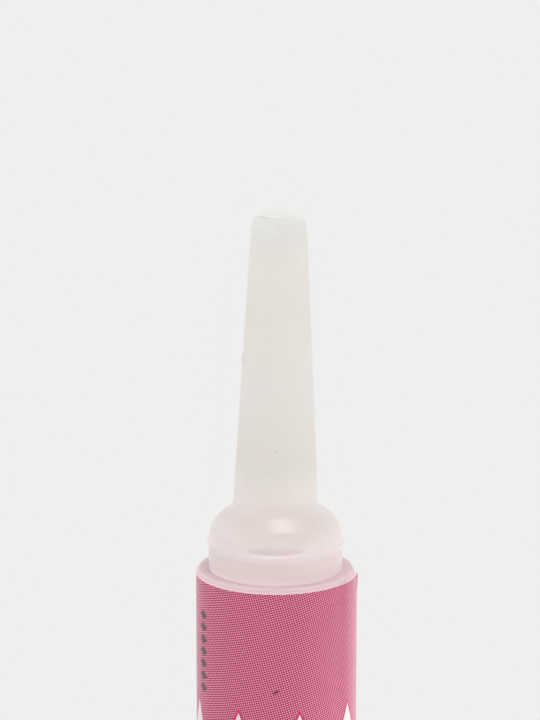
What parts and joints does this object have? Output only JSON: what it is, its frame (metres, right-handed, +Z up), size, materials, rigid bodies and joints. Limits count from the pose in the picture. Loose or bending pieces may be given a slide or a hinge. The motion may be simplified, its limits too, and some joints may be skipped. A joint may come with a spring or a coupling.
{
  "type": "nail glue tube",
  "caption": "Slim squeeze bottle of nail glue with a pink printed wrap label, a hidden dropper nozzle, and a tall tapered milky cap that pulls straight off.",
  "frame": {"origin": "middle of the foot, on the plane that the bottle stands on", "axes": "+Z up along the bottle's axis to the cap's tip, -Y towards the front of the label, +X to the right"},
  "size_m": [0.012, 0.0118, 0.0645],
  "materials": {
    "bottle_plastic": "milky translucent, satin",
    "glue": "clear liquid",
    "nozzle_plastic": "milky translucent, satin",
    "label_film": "pink halftone print, satin film",
    "cap_plastic": "milky translucent, satin"
  },
  "bodies": {
    "tube": {"bottle_body": "bottle_plastic", "glue_fill": "glue", "dropper_nozzle": "nozzle_plastic", "wrap_label": "label_film"},
    "cap": {"cap": "cap_plastic"}
  },
  "joints": [
    {"name": "cap_pull", "type": "slide", "parent": "tube", "child": "cap", "axis": [0, 0, 1], "range_m": [0, 0.024]}
  ]
}
